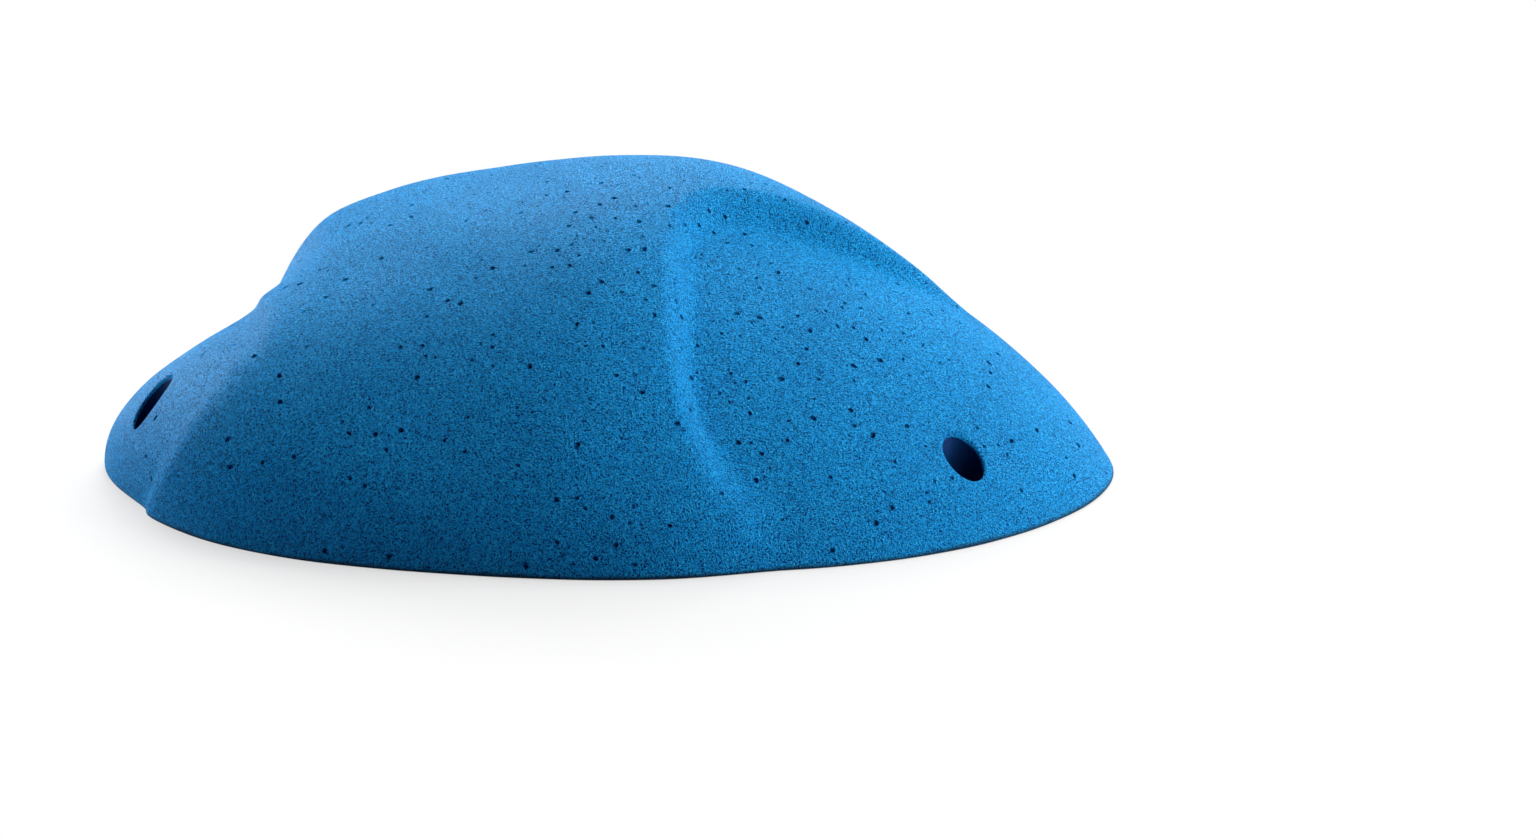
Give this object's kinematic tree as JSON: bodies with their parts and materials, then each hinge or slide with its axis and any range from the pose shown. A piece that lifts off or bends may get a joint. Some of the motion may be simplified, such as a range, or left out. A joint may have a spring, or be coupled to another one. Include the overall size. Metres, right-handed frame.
{
  "type": "edge climbing hold",
  "caption": "Large hollow-backed climbing hold with a rounded body, two wings and a steep gripping edge, held by screws through four moulded-in washers.",
  "frame": {"origin": "middle of the hold's outline in plan, on the wall face", "axes": "+Z away from the wall, +X along the hold's length, -Y towards the broad rounded front, +Y towards the steep gripping face"},
  "size_m": [0.391, 0.2714, 0.1111],
  "materials": {
    "polyurethane": "matte foam-grain texture with small pores",
    "washer_steel": "zinc plated"
  },
  "bodies": {
    "root": {"hold_body": "polyurethane", "washer_left": "washer_steel", "washer_right": "washer_steel", "washer_back_left": "washer_steel", "washer_back_right": "washer_steel"}
  },
  "joints": []
}
